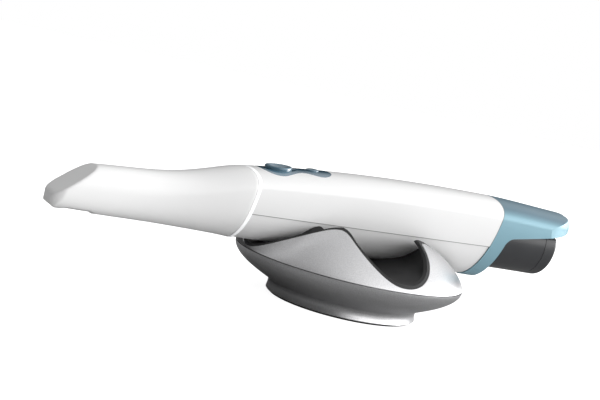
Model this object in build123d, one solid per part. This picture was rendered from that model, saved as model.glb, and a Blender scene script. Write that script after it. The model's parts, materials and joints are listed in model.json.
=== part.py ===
from build123d import *
import math
import os

# Wireless intraoral scanner lying in its desk holder. Millimetres.
# X runs along the scanner from the tip to the tail, Y across it, Z up.
# The origin is the centre of the holder's foot on the table.

# Scanner, outline at the joint between tip and handle
RING_X = -62.75
RING_TOP = 57.05
RING_BOTTOM = 24.0
RING_HALF = 18.1
RING_LEAN = 0.085
RING_WIDTH = 1.4

# Scanner, outline at the joint between handle and tail hood
SEAM_X = 66.8
SEAM_TOP = 64.4
SEAM_BOTTOM = 23.6
SEAM_HALF = 19.0
SEAM_LEAN = 0.168

# Handle between the two
HANDLE_BULGE = 0.9
TOP_CURVE = 2.2
WIDEST_SHARE = 0.79
HANDLE_WALL = 2.2
PARTING_Z = 38.2
PARTING_SLOPE = 0.026
PARTING_STEP = 0.45
PARTING_GAP = 0.1

# Tip that slips over the snout
TIP_NOSE_X = -150.2
TIP_WALL = 1.7
TIP_END_TOP = 45.4
TIP_END_BOTTOM = 25.1
TIP_END_HALF = 10.4
TIP_WAIST_X = -103.0
TIP_WAIST_TOP = 48.4
TIP_WAIST_HALF = 11.7
TIP_SHOULDER_X = -76.0
TIP_SHOULDER_TOP = 54.1
TIP_SHOULDER_HALF = 15.9
TIP_SEAT_GAP = 0.15
FACET_X = -134.7
FACET_Z = 44.2
FACET_ANGLE = 39.0
FACET_EDGE = 1.8
NOSE_CORNER = 6.5
NOSE_CHIN = 3.2
WINDOW_START = 4.6
WINDOW_LENGTH = 15.0
WINDOW_WIDTH = 14.0
WINDOW_CORNER = 3.0
MIRROR_THICK = 1.0
MIRROR_ANGLE = 45.0
MIRROR_WIDTH = 13.0
MIRROR_LENGTH = 17.0
MIRROR_SEAT = 1.0
LEDGE = 0.9

# Snout under the tip
SNOUT_END_X = -122.0
SNOUT_END_Z = 36.6
SNOUT_END_HALF_W = 7.6
SNOUT_END_HALF_H = 6.6
SNOUT_BASE_Z = 41.0
SNOUT_BASE_R = 8.6
SNOUT_WALL = 1.2
SNOUT_BASE_X = -58.0
COLLAR_LENGTH = 7.5
COLLAR_GAP = 0.45
FLANGE_THICK = 1.8
RING_BOARD = 0.8
NECK_INSET = 6.2
SEAL_WIDTH = 1.6
SEAL_PROUD = 0.2
SEAL_DEPTH = 1.2
GLASS_THICK = 1.2
WINDOW_REBATE = 1.6
SNOUT_SQUARE = 0.8

# Tail hood
HOOD_WALL = 1.4
HOOD_END_X = 117.5
HOOD_END_REACH = 24.0
HOOD_FALL = 2.4
HOOD_REAR_EDGE_X = 72.0
HOOD_EDGE_LEAN = 0.165
HOOD_SKIRT_Z = 46.9
HOOD_SKIRT_SLOPE = 0.165
HOOD_EDGE_ROUND = 5.0
HOOD_TOP_ROUND = 4.0

# Battery pack
BATTERY_R = 16.4
BATTERY_Z = 45.7
BATTERY_TOP = 51.0
BATTERY_END_X = 104.7
BATTERY_CAP_X = 97.6
BATTERY_START_X = 73.0
BATTERY_EDGE = 1.6
NECK_R = 12.0
NECK_Z = 44.4
NECK_LENGTH = 27.0
BATTERY_GAP = 0.35
CAP_STEP = 0.3
SOCKET_END = 1.6
CONTACT_HEIGHT = 6.0
CONTACT_STEP = 4.0
CONTACT_COUNT = 3

# Button panel on the handle's top
PANEL_X = -47.8
PANEL_FRONT = 9.6
PANEL_HALF = 11.4
WAIST_AT = 10.6
WAIST_HALF = 6.6
REAR_BULB_AT = 17.0
REAR_BULB_HALF = 10.0
PANEL_END = 25.8
PANEL_GAP = 0.12
PANEL_FLANGE = 0.8
PANEL_FLANGE_THICK = 1.0
MOAT_R = 9.0
MOAT_DEPTH = 0.9
SCAN_R = 6.3
SCAN_RISE = 1.2
REAR_BUTTON_AT = 17.2
REAR_BUTTON_R = 3.1
REAR_BUTTON_RISE = 0.8
BUTTON_GAP = 0.3
BUTTON_FLANGE = 1.0
BUTTON_TRAVEL = 0.7
SWITCH_HEIGHT = 1.4
STEM_R = 1.4
KEY_FLANGE = 0.9
KEY_STEM = 1.4
SCAN_DISH = 1.3
BOARD_THICK = 1.2

# Inside the handle
FRAME_TOP_Z = 32.6
FRAME_THICK = 2.0
FRAME_GAP = 0.3
AXIS_Z = 40.6
LENS_R = 5.8
LENS_BULGE = 0.9
BARREL_R = 7.2
CARRIAGE_WALL = 1.4
WALL_FRONT_X = -57.6
WALL_MID_X = -20.0
WALL_REAR_X = 17.0
WALL_THICK = 2.0
ROD_R = 1.25
ROD_Y = 10.6
ROD_GAP = 0.05
CARRIAGE_LENGTH = 9.0
CARRIAGE_X = 3.0
MAGNET_Z = 54.0
CUBE = 12.0
CUBE_X = 22.0
SENSOR_X = 36.0
MAIN_BOARD_Z = 54.4
BOARD_POST_Y = 7.0
CHASSIS_HEAD_R = 2.5
CHASSIS_HEAD = 1.2
CHASSIS_LENGTH = 5.4
PILOT_R = 1.2
BOSS_R = 2.6
EAR = 2.4
MAGNET_WIDE = 7.0
MAGNET_HIGH = 3.0
COIL_GAP = 0.5
COIL_WALL = 1.4
CHIP_THICK = 1.4
LAMP_THICK = 0.6
FIN_THICK = 0.8
FIN_COUNT = 6

# Desk holder, turned about Z
HOLDER_R = 55.05
GROOVE_Z = 20.6
GROOVE_WIDTH = 0.4
DOME_RISE = 28.46
DOME_POWER = 1.46
DOME_WALL = 1.1
DOME_CUT_Z = 41.5
LINER_GAP = 0.1
LINER_WALL = 1.2
LIP_RISE = 1.3
LIP_INSET = 0.25
RIM_GAP = 0.03
LIP_TOP_Z = 22.2
LIP_LOW_Z = 18.4
LIP_WALL = 0.9
PEAK_Z = 38.9
PEAK_X = 22.1
PEAK_Y = 24.5
END_DIP_Z = 21.7
SIDE_DIP_Z = 22.3
BOWL_DEPTH = 13.5
SCOOP_HALF = 28.2
SCOOP_LOW_Z = 22.3
RIDGE_Z = 37.8
SADDLE_GAP = 0.05
CORE_R = 36.0
BOWL_RIM_Z = 24.0
BASE_WALL = 2.0
NECK_RADIUS = 36.6
NECK_HEIGHT = 6.5
FLANK_PULL = (7.1, 3.4)
BULGE_PULL = 6.0
FOOT_R = 36.2
FOOT_PAD_R = 34.6
FOOT_PAD_THICK = 0.8
BALLAST_R = 30.0
BALLAST_THICK = 3.6
SCREW_CIRCLE_R = 20.0
SCREW_COUNT = 3
SCREW_R = 1.5
SCREW_HEAD_R = 2.9
SCREW_HEAD = 1.6
SCREW_CORE_R = 1.275
SCREW_LENGTH = 9.2
BOSS_WIDE_R = 4.0
BOSS_BORE = 5.2

# Pull of a Bezier's inner points that draws a quarter of a circle or ellipse
QUARTER_PULL = 0.5523


# Where a block's own origin lies
STANDING = (Align.CENTER, Align.CENTER, Align.MIN)
HANGING = (Align.CENTER, Align.CENTER, Align.MAX)
FROM_LEFT = (Align.MIN, Align.CENTER, Align.CENTER)
LEFT_LOW = (Align.MIN, Align.CENTER, Align.MIN)


def share(x):
    """How far x lies from the ring to the seam, from 0 to 1."""
    return (x - RING_X) / (SEAM_X - RING_X)


def blend(a, b, s):
    return a + (b - a) * s


def body_top(x):
    rest = max(0.0, 1 - share(x))
    return SEAM_TOP - (SEAM_TOP - RING_TOP) * rest**TOP_CURVE


def body_slope(x):
    rest = max(0.0, 1 - share(x))
    return (SEAM_TOP - RING_TOP) * TOP_CURVE * rest ** (TOP_CURVE - 1) / (SEAM_X - RING_X)


def section(x, top, bottom, half, widest, shape, lean=0.0):
    """One closed egg-like outline across the scanner, leaning along X with height."""
    crown, shoulder, flank, keel = shape
    side_z = bottom + widest * (top - bottom)

    def at(y, z):
        return Vector(x + lean * (z - side_z), y, z)

    def quarter(sign, upper):
        if upper:
            points = [at(0, top), at(sign * crown * half, top)]
            points += [at(sign * half, side_z + shoulder * (top - side_z)), at(sign * half, side_z)]
        else:
            points = [at(sign * half, side_z), at(sign * half, side_z - flank * (side_z - bottom))]
            points += [at(sign * keel * half, bottom), at(0, bottom)]
        return points

    near = [Edge.make_bezier(*quarter(-1, True)), Edge.make_bezier(*quarter(-1, False))]
    far = [Edge.make_bezier(*reversed(quarter(1, False))), Edge.make_bezier(*reversed(quarter(1, True)))]
    return Face(Wire(near + far))


RING_SHAPE = (0.54, 0.57, 0.725, 0.28)
SEAM_SHAPE = (0.585, 0.61, 0.725, 0.28)
WAIST_SHAPE = (0.68, 0.68, 0.72, 0.5)
END_SHAPE = (0.78, 0.72, 0.72, 0.76)


def body_section(x, inset=0.0, lean=None):
    """Outline of the handle at x, made smaller all round by inset."""
    s = share(x)
    half = blend(RING_HALF, SEAM_HALF, s) + HANDLE_BULGE * 4 * s * (1 - s)
    if s > 1:
        half = SEAM_HALF
    bottom = blend(RING_BOTTOM, SEAM_BOTTOM, min(s, 1))
    shape = [blend(a, b, min(max(s, 0), 1)) for a, b in zip(RING_SHAPE, SEAM_SHAPE)]
    if lean is None:
        lean = blend(RING_LEAN, SEAM_LEAN, s)
    return section(x, body_top(x) - inset, bottom + inset, half - inset, WIDEST_SHARE, shape, lean)


def body_loft(x_from, x_to, inset=0.0, stations=5, lean=None):
    """Solid of the handle's outline between two joints."""
    step = (x_to - x_from) / (stations - 1)
    return loft([body_section(x_from + i * step, inset, lean) for i in range(stations)])


def tip_section(x, top, bottom, half, widest, shape, inset, lean=0.0):
    return section(x, top - inset, bottom + inset, half - inset, widest, shape, lean)


def tip_loft(inset=0.0, reach=0.0):
    """Solid of the tip's outline, from its mouth to past its nose."""
    mouth_x = RING_X - RING_WIDTH / 2 - TIP_SEAT_GAP + reach
    low = TIP_END_BOTTOM
    half_way = blend(TIP_SHOULDER_X, TIP_WAIST_X, 0.5)
    before_facet = blend(TIP_WAIST_X, FACET_X, 0.55)
    sections = [body_section(mouth_x, inset, RING_LEAN)]
    sections += [tip_section(TIP_SHOULDER_X, TIP_SHOULDER_TOP, blend(RING_BOTTOM, low, 0.55), TIP_SHOULDER_HALF,
                             0.73, (0.58, 0.6, 0.725, 0.34), inset, RING_LEAN / 2)]
    sections += [tip_section(half_way, blend(TIP_SHOULDER_TOP, TIP_WAIST_TOP, 0.62), low - 0.2,
                             blend(TIP_SHOULDER_HALF, TIP_WAIST_HALF, 0.6), 0.67, (0.63, 0.64, 0.72, 0.42), inset)]
    sections += [tip_section(TIP_WAIST_X, TIP_WAIST_TOP, low, TIP_WAIST_HALF, 0.61, WAIST_SHAPE, inset)]
    sections += [tip_section(before_facet, blend(TIP_WAIST_TOP, TIP_END_TOP, 0.45), low,
                             blend(TIP_WAIST_HALF, TIP_END_HALF, 0.6), 0.56, (0.74, 0.7, 0.72, 0.66), inset)]
    sections += [tip_section(FACET_X, blend(TIP_WAIST_TOP, TIP_END_TOP, 0.82), low,
                             blend(TIP_WAIST_HALF, TIP_END_HALF, 0.85), 0.52, END_SHAPE, inset)]
    sections += [tip_section(TIP_NOSE_X - 4, TIP_END_TOP, low, TIP_END_HALF, 0.5, END_SHAPE, inset)]
    return loft(sections)


def nose_trim(inset=0.0):
    """Everything that the tip keeps: behind its nose, below its facet, above its chin."""
    nose = TIP_NOSE_X + inset
    slope = math.tan(math.radians(FACET_ANGLE))
    drop = inset / math.cos(math.radians(FACET_ANGLE))
    chin = NOSE_CHIN - inset * 0.5
    low = TIP_END_BOTTOM + inset
    back = RING_X + 20
    chin_x = nose + 2 * chin

    def facet_z(x):
        return FACET_Z - drop + slope * (x - FACET_X)

    curve = Bezier((chin_x, low - 0.01), (nose + 0.7 * chin, low), (nose, low + 0.45 * chin), (nose, low + chin))
    brow = facet_z(nose)
    edge = FACET_EDGE - inset * 0.5
    rounding = Bezier((nose, brow - edge), (nose, brow), (nose + edge, facet_z(nose + edge)))
    front = Line((nose, low + chin), (nose, brow - edge))
    rest = Polyline((nose + edge, facet_z(nose + edge)), (back, facet_z(back)), (back, low - 10),
                    (chin_x, low - 10), (chin_x, low - 0.01))
    profile = extrude(Plane.XZ * make_face([front, rounding, rest, curve]), amount=40, both=True)
    return profile & (Pos(nose, 0, 0) * extrude(nose_plan(NOSE_CORNER - inset * 0.5, inset), amount=90))


def nose_plan(corner, inset):
    """Plan outline of the tip with rounded front corners at its own width."""
    side = TIP_END_HALF + 0.3 - inset
    wide = side + 15
    back = RING_X + 20 - TIP_NOSE_X

    def corner_curve(sign):
        return Bezier((0, sign * (side - corner)), (0, sign * (side - 0.4 * corner)), (0.4 * corner, sign * side),
                      (1.3 * corner, sign * side))

    rest = Polyline((1.3 * corner, side), (4 * corner, wide), (back, wide), (back, -wide), (4 * corner, -wide),
                    (1.3 * corner, -side))
    return make_face([corner_curve(1), rest, corner_curve(-1), Line((0, corner - side), (0, side - corner))])


def mirror_plane():
    """Place of the mirror: its lower edge stands at the front of the floor, and it leans back and up."""
    low_x = TIP_NOSE_X + TIP_WALL + NOSE_CHIN * 1.2
    low_z = TIP_END_BOTTOM + TIP_WALL + MIRROR_SEAT
    across = math.cos(math.radians(MIRROR_ANGLE))
    up = math.sin(math.radians(MIRROR_ANGLE))
    return Plane(origin=(low_x, 0, low_z), x_dir=(across, 0, up), z_dir=(-up, 0, across))


def make_tip_shell():
    hollow = tip_loft(TIP_WALL, reach=1.0) & nose_trim(TIP_WALL)
    shell = (tip_loft() & nose_trim()) - hollow
    window_x = TIP_NOSE_X + WINDOW_START + WINDOW_LENGTH / 2
    window = Pos(window_x, 0, TIP_END_BOTTOM) * Box(WINDOW_LENGTH, WINDOW_WIDTH, 4 * TIP_WALL)
    window = fillet(window.edges().filter_by(Axis.Z), WINDOW_CORNER)
    ledges = Box(MIRROR_LENGTH - 3, 30, LEDGE, align=(Align.MIN, Align.CENTER, Align.MAX))
    ledges = ledges - Box(60, MIRROR_WIDTH - 2 * LEDGE, 10)
    ledges = (mirror_plane() * Pos(1.5, 0, -0.02) * ledges) & hollow
    return shell - window + ledges


def make_tip_mirror():
    plate = Box(MIRROR_LENGTH, MIRROR_WIDTH, MIRROR_THICK, align=LEFT_LOW)
    plate = fillet(plate.edges().filter_by(Axis.Z), 2.0)
    return mirror_plane() * plate


def make_light_ring():
    front = RING_X - RING_WIDTH / 2
    ring = body_loft(front, front + RING_WIDTH, 0, 2, RING_LEAN)
    hole = body_loft(front - 1, front + RING_WIDTH + 1, HANDLE_WALL + 1.0, 2, RING_LEAN)
    return ring - hole


def handle_start():
    return RING_X + RING_WIDTH / 2


def handle_solid(inset=0.0, extra=0.0):
    """The handle from the ring to the seam."""
    xs = [handle_start() - extra, -32.0, 0.0, 34.0, SEAM_X + extra]
    leans = [RING_LEAN, blend(RING_LEAN, SEAM_LEAN, 0.25), blend(RING_LEAN, SEAM_LEAN, 0.5)]
    leans += [blend(RING_LEAN, SEAM_LEAN, 0.75), SEAM_LEAN]
    return loft([body_section(x, inset, lean) for x, lean in zip(xs, leans)])


def above_parting(lift=0.0):
    """Everything above the plane in which the two handle halves meet."""
    length = 400
    block = Box(length, 80, 80, align=STANDING)
    angle = -math.degrees(math.atan(PARTING_SLOPE))
    return Pos(RING_X, 0, PARTING_Z + lift) * Rot(0, angle, 0) * block


def panel_plane():
    """Button panel frame: origin on the handle's top at the scan button, Z along the button's travel."""
    tilt = body_slope(PANEL_X + REAR_BUTTON_AT / 2)
    along = Vector(1, 0, tilt).normalized()
    normal = Vector(-tilt, 0, 1).normalized()
    return Plane(origin=(PANEL_X, 0, body_top(PANEL_X)), x_dir=along, z_dir=normal)


def panel_outline(grow=0.0):
    """Teardrop front, waist and round rear end, drawn about the scan button."""
    front = (-PANEL_FRONT - grow, 0)
    end = (PANEL_END + grow, 0)

    def side(sign):
        points = [(-0.4, PANEL_HALF), (WAIST_AT, WAIST_HALF), (REAR_BULB_AT, REAR_BULB_HALF)]
        points = [(x, sign * (y + grow)) for x, y in points]
        return Spline(front, *points, end, tangents=[(0, sign), (0, -sign)], tangent_scalars=[2.0, 1.4])

    return make_face([side(1), side(-1)])


def panel_prism(grow, low, high):
    face = panel_outline(grow)
    return panel_plane() * Pos(0, 0, low) * extrude(face, amount=high - low)


def make_handle_upper_shell():
    shell = handle_solid() - handle_solid(HANDLE_WALL, 1.0)
    shell = shell & above_parting(PARTING_GAP)
    shell = shell - panel_prism(PANEL_GAP, -8, 8)
    return shell


def lower_solid():
    """The lower half stands back from the upper by a small step."""
    return handle_solid(PARTING_STEP)


def boss_places():
    return [WALL_FRONT_X + 6, WALL_MID_X + 4, WALL_REAR_X - 4]


def make_handle_lower_shell():
    shell = lower_solid() - handle_solid(HANDLE_WALL, 1.0) - above_parting()
    floor_z = RING_BOTTOM + 1.0
    height = FRAME_TOP_Z - FRAME_THICK - floor_z
    for x in boss_places():
        shell = shell + Pos(x, 0, floor_z) * Cylinder(BOSS_R, height, align=STANDING)
        shell = shell - Pos(x, 0, floor_z + 1.4) * Cylinder(PILOT_R, height, align=STANDING)
    return shell


def make_button_panel():
    skin = handle_solid(0.0) - handle_solid(HANDLE_WALL + 0.02)
    top = skin & panel_prism(0, -8, 8)
    under = handle_solid(HANDLE_WALL + 0.05) - handle_solid(HANDLE_WALL + 0.05 + PANEL_FLANGE_THICK)
    under = under & panel_prism(PANEL_FLANGE, -9, 9)
    link = handle_solid(HANDLE_WALL - 0.2) - handle_solid(HANDLE_WALL + 0.3)
    link = link & panel_prism(0, -9, 9)
    panel = top + under + link
    plane = panel_plane()
    ball_r = (MOAT_R**2 + MOAT_DEPTH**2) / (2 * MOAT_DEPTH)
    panel = panel - plane * Pos(0, 0, ball_r - MOAT_DEPTH) * Sphere(ball_r)
    for at, radius in ((0, SCAN_R), (REAR_BUTTON_AT, REAR_BUTTON_R)):
        panel = panel - plane * Pos(at, 0, 0) * Cylinder(radius + BUTTON_GAP, 20)
        face_r = radius + BUTTON_GAP + BUTTON_FLANGE + BUTTON_GAP
        panel = panel - plane * Pos(at, 0, -panel_drop()) * Cylinder(face_r, 6, align=HANGING)
    for x, y in board_posts():
        post = Cylinder(1.3, board_depth() - 2.6, align=STANDING)
        panel = panel + plane * Pos(x, y, -board_depth()) * post
    return panel


def board_posts():
    return [(8.4, 4.4), (8.4, -4.4), (23.0, 0)]


def panel_drop():
    """Depth of the panel's underside below the panel plane at a button."""
    return HANDLE_WALL + 0.05 + PANEL_FLANGE_THICK


def flange_top():
    return -panel_drop() - 0.35


def flange_low():
    return flange_top() - KEY_FLANGE


def stem_end():
    return flange_low() - KEY_STEM


def board_depth():
    """Top of the button board, below the panel plane."""
    return BUTTON_TRAVEL + 0.15 + SWITCH_HEIGHT - stem_end()


def turned_key(radius, side_top, cap):
    """Button turned about the panel's normal: stem, flange, side and its own cap curves."""
    flange_r = radius + BUTTON_GAP + BUTTON_FLANGE
    below = Polyline((0, stem_end()), (STEM_R, stem_end()), (STEM_R, flange_low()),
                     (flange_r, flange_low()), (flange_r, flange_top()), (radius, flange_top()), (radius, side_top))
    top = cap[-1] @ 1
    return panel_plane() * revolve(Plane.XZ * make_face([below, *cap, Line(top, (0, stem_end()))]), Axis.Z)


def make_scan_button():
    """Round button with a raised ring and a dished centre."""
    side = SCAN_RISE - 0.9
    crest = (SCAN_R - 0.9, SCAN_RISE - 0.05)
    rim = Bezier((SCAN_R, side), (SCAN_R, SCAN_RISE), (SCAN_R - 0.5, SCAN_RISE), crest)
    dish = Bezier(crest, (SCAN_R - 1.9, SCAN_RISE - 0.4), (2.6, SCAN_RISE - SCAN_DISH), (0, SCAN_RISE - SCAN_DISH))
    return turned_key(SCAN_R, side, [rim, dish])


def make_rear_button():
    """Small domed button behind the scan button."""
    dome = Bezier((REAR_BUTTON_R, 0), (REAR_BUTTON_R, REAR_BUTTON_RISE * 0.8), (REAR_BUTTON_R * 0.6, REAR_BUTTON_RISE),
                  (0, REAR_BUTTON_RISE))
    along = Vector(REAR_BUTTON_AT, 0, 0)
    return Pos(panel_plane().from_local_coords(along) - panel_plane().origin) * turned_key(REAR_BUTTON_R, 0, [dome])


def make_button_board():
    board = Pos(REAR_BUTTON_AT / 2 - 0.5, 0, -board_depth()) * Box(34, 13, BOARD_THICK, align=HANGING)
    board = fillet(board.edges().filter_by(Axis.Z), 2.0)
    for at in (0, REAR_BUTTON_AT):
        body = Pos(at, 0, -board_depth()) * Box(5, 5, SWITCH_HEIGHT - 0.5, align=STANDING)
        key = Pos(at, 0, -board_depth()) * Cylinder(1.2, SWITCH_HEIGHT, align=STANDING)
        board = board + body + key
    return panel_plane() * board


def snout_section(x, along, inset):
    """Round-cornered outline of the snout, along being 0 at its end and 1 at its base."""
    half_w = blend(SNOUT_END_HALF_W, SNOUT_BASE_R, along) - inset
    half_h = blend(SNOUT_END_HALF_H, SNOUT_BASE_R, along) - inset
    z = blend(SNOUT_END_Z, SNOUT_BASE_Z, along)
    return section(x, z + half_h, z - half_h, half_w, 0.5, (SNOUT_SQUARE,) * 4)


def snout_solid(inset=0.0, start=0.0, end=0.0):
    taper_end = RING_X - 10
    middle = blend(SNOUT_END_X, taper_end, 0.5)
    places = [(SNOUT_END_X + start, 0), (middle, 0.4), (taper_end, 1), (SNOUT_BASE_X + end, 1)]
    return loft([snout_section(x, along, inset) for x, along in places])


def snout_end_box(thick, inset, align=None):
    """Block across the snout's end, smaller than it all round by inset."""
    size_y = 2 * (SNOUT_END_HALF_W - inset)
    size_z = 2 * (SNOUT_END_HALF_H - inset)
    return Pos(SNOUT_END_X, 0, SNOUT_END_Z) * Box(thick, size_y, size_z, align=align or (Align.CENTER,) * 3)


def make_snout_tube():
    tube = snout_solid() - snout_solid(SNOUT_WALL, GLASS_THICK + 0.6, 1.0)
    return tube - snout_end_box(8, WINDOW_REBATE + 0.6) - snout_end_box(2 * GLASS_THICK, WINDOW_REBATE)


def make_snout_window():
    return snout_end_box(GLASS_THICK, WINDOW_REBATE + 0.05, FROM_LEFT)


def make_snout_collar():
    """Front bulkhead with the collar that the tip's mouth slips over."""
    flange_x = handle_start() + RING_BOARD
    flange = body_loft(flange_x, flange_x + FLANGE_THICK, HANDLE_WALL + 0.1, 2, RING_LEAN)
    neck = body_loft(RING_X - 2, flange_x + 0.5, NECK_INSET, 2, RING_LEAN)
    collar = collar_core(0) & slab(collar_x(), RING_X - RING_WIDTH / 2)
    groove = seal_slab(0.1) - collar_core(SEAL_DEPTH)
    return flange + collar + neck - groove - snout_solid(-0.06)


def collar_x():
    return RING_X - RING_WIDTH / 2 - COLLAR_LENGTH


def collar_core(depth):
    """The tip's mouth, smaller by its wall and the gap, and by depth below the collar's face."""
    return tip_loft(TIP_WALL + COLLAR_GAP + depth, reach=4.0)


def slab(x_from, x_to):
    """Slice between two joints that lean as the ring does, wider than the scanner."""
    return body_loft(x_from, x_to, -8.0, 2, RING_LEAN)


def seal_slab(extra=0.0):
    middle = collar_x() + COLLAR_LENGTH / 2
    return slab(middle - SEAL_WIDTH / 2 - extra, middle + SEAL_WIDTH / 2 + extra)


def make_tip_seal():
    return (collar_core(-SEAL_PROUD) & seal_slab()) - collar_core(SEAL_DEPTH)


def make_ring_board():
    start = handle_start()
    board = body_loft(start + 0.02, start + RING_BOARD - 0.02, HANDLE_WALL + 0.15, 2, RING_LEAN)
    hole = body_loft(start - 1, start + RING_BOARD + 1, NECK_INSET - 0.15, 2, RING_LEAN)
    return board - hole


def hood_solid(inset=0.0, front=0.0):
    """Outline solid of the hood with its rounded end, before its underside is cut away."""
    places = [(SEAM_X - front, SEAM_TOP, SEAM_LEAN), (SEAM_X + 17, SEAM_TOP - 0.2 * HOOD_FALL, 0.36 * SEAM_LEAN)]
    places += [(SEAM_X + 35, SEAM_TOP - 0.6 * HOOD_FALL, 0.0), (HOOD_END_X + 6, hood_end_top(), 0.0)]
    faces = []
    for x, top, lean in places:
        outline = section(x, top - inset, SEAM_BOTTOM + inset, SEAM_HALF - inset, WIDEST_SHARE, SEAM_SHAPE, lean)
        faces.append(outline)
    return loft(faces) & hood_end(inset)


def hood_end_top():
    return SEAM_TOP - HOOD_FALL


def end_outline(reach, z):
    """Plan outline of the hood with an elliptic end, at height z."""
    start = HOOD_END_X - HOOD_END_REACH
    wide = SEAM_HALF + 0.2
    pull = QUARTER_PULL
    front = SEAM_X - 30

    def p(x, y):
        return Vector(x, y, z)

    near = Bezier(p(start, -wide), p(start + pull * reach, -wide), p(start + reach, -pull * wide), p(start + reach, 0))
    far = Bezier(p(start + reach, 0), p(start + reach, pull * wide), p(start + pull * reach, wide), p(start, wide))
    rest = Polyline(p(start, wide), p(front, wide), p(front, -wide), p(start, -wide))
    return make_face([near, far, rest])


def hood_end(inset=0.0):
    """Everything that the hood's rounded tail keeps."""
    reach = HOOD_END_REACH - inset
    fall = HOOD_TOP_ROUND * 1.6
    back = HOOD_TOP_ROUND * 1.3
    low = hood_end_top() - inset - fall
    straight = loft([end_outline(reach, SEAM_BOTTOM - 10), end_outline(reach, low)], ruled=True)
    rounded = []
    for degrees in (0, 22, 44, 66, 84):
        turn = math.radians(degrees)
        rounded.append(end_outline(reach - back * (1 - math.cos(turn)), low + fall * math.sin(turn)))
    return straight + loft(rounded) + extrude(rounded[-1], amount=fall + HOOD_FALL, dir=(0, 0, 1))


def hood_profile(inset=0.0):
    """Side outline that the hood keeps, down to its rear edge and its skirt."""
    edge_x = HOOD_REAR_EDGE_X - inset
    skirt = HOOD_SKIRT_Z + inset
    lean = HOOD_EDGE_LEAN
    bottom = SEAM_BOTTOM - 6
    corner_x = edge_x + lean * (skirt - 40)
    tail_x = HOOD_END_X + 8
    points = [(SEAM_X - 30, bottom), (edge_x + lean * (bottom - 40), bottom), (corner_x, skirt)]
    points += [(tail_x, skirt + HOOD_SKIRT_SLOPE * (tail_x - corner_x)), (tail_x, 90), (SEAM_X - 30, 90)]
    outline = make_face(Polyline(*points, close=True))
    corner = outline.vertices().sort_by_distance(Vector(corner_x, skirt, 0))[0]
    outline = fillet(corner, HOOD_EDGE_ROUND)
    return extrude(Plane.XZ * outline, amount=60, both=True)


def seam_side(behind, gap=0.0):
    """Half space behind or before the leaning seam plane."""
    side_z = SEAM_BOTTOM + WIDEST_SHARE * (SEAM_TOP - SEAM_BOTTOM)
    plane = Plane(origin=(SEAM_X + gap, 0, side_z), z_dir=(1, 0, -SEAM_LEAN))
    block = Box(200, 200, 200, align=(Align.CENTER, Align.CENTER, Align.MIN if behind else Align.MAX))
    return plane * block


def make_rear_hood():
    body = hood_solid() & hood_profile() & seam_side(True, 0.08)
    return body - hood_solid(HOOD_WALL, 4.0) - skirt_corner()


def skirt_corner():
    """What rounds off the lower rear corner of the hood's skirt."""
    x0 = HOOD_END_X - HOOD_END_REACH + 6
    z0 = HOOD_SKIRT_Z + HOOD_SKIRT_SLOPE * (x0 - HOOD_REAR_EDGE_X)
    end = HOOD_END_X + 1
    curve = Bezier((x0, z0 - 0.02), (x0 + 9, z0 + 1.2), (HOOD_END_X + 0.5, z0 + 3.2), (end, z0 + 8))
    rest = Polyline((end, z0 + 8), (end + 19, z0 + 8), (end + 19, z0 - 20), (x0, z0 - 20), (x0, z0 - 0.02))
    return extrude(Plane.XZ * make_face([curve, rest]), amount=60, both=True)


def d_profile(radius, centre_z, top_z, grow=0.0):
    """Round bottom and flat top with rounded corners, as a face in the YZ plane."""
    circle = Circle(radius + grow)
    cut = Pos(0, top_z + grow - centre_z) * Rectangle(4 * radius, 2 * radius, align=(Align.CENTER, Align.MIN))
    outline = circle - cut
    corners = outline.vertices()
    outline = fillet(corners, 2.0 + grow)
    return Plane(origin=(0, 0, centre_z), x_dir=(0, 1, 0), z_dir=(1, 0, 0)) * outline


def d_bar(x_from, x_to, radius, centre_z, top_z, grow=0.0):
    """Bar along X with the battery's outline."""
    return Pos(x_from, 0, 0) * extrude(d_profile(radius, centre_z, top_z, grow), amount=x_to - x_from)


def neck_start():
    return BATTERY_START_X - NECK_LENGTH


def battery_room():
    """Room for the pack and its narrower neck, open at the tail."""
    gap = BATTERY_GAP
    pack = d_bar(BATTERY_START_X - gap, BATTERY_END_X + 60, BATTERY_R, BATTERY_Z, BATTERY_TOP, gap)
    return pack + d_bar(neck_start() - gap, BATTERY_START_X + 2, NECK_R, NECK_Z, BATTERY_TOP, gap)


def make_battery_case():
    pack = d_bar(BATTERY_START_X, BATTERY_CAP_X - CAP_STEP, BATTERY_R, BATTERY_Z, BATTERY_TOP)
    neck = d_bar(neck_start(), BATTERY_START_X + 2, NECK_R, NECK_Z, BATTERY_TOP)
    pads = Pos(neck_start(), 0, NECK_Z) * Box(0.8, 3 * CONTACT_STEP, CONTACT_HEIGHT + 0.4)
    return pack + neck - pads


def make_battery_contacts():
    pad = Box(0.4, CONTACT_STEP * 0.7, CONTACT_HEIGHT, align=FROM_LEFT)
    return Compound(children=[Pos(neck_start(), y, NECK_Z) * pad for y in contact_places()])


def contact_places():
    return [(i - (CONTACT_COUNT - 1) / 2) * CONTACT_STEP for i in range(CONTACT_COUNT)]


def make_battery_end_cap():
    cap = d_bar(BATTERY_CAP_X, BATTERY_END_X, BATTERY_R, BATTERY_Z, BATTERY_TOP)
    rear = cap.faces().sort_by(Axis.X)[-1]
    cap = fillet(rear.edges(), BATTERY_EDGE)
    return cap + d_bar(BATTERY_CAP_X - CAP_STEP, BATTERY_CAP_X, BATTERY_R - 2, BATTERY_Z, BATTERY_TOP - 2)


def socket_start():
    return neck_start() - BATTERY_GAP - SOCKET_END


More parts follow.
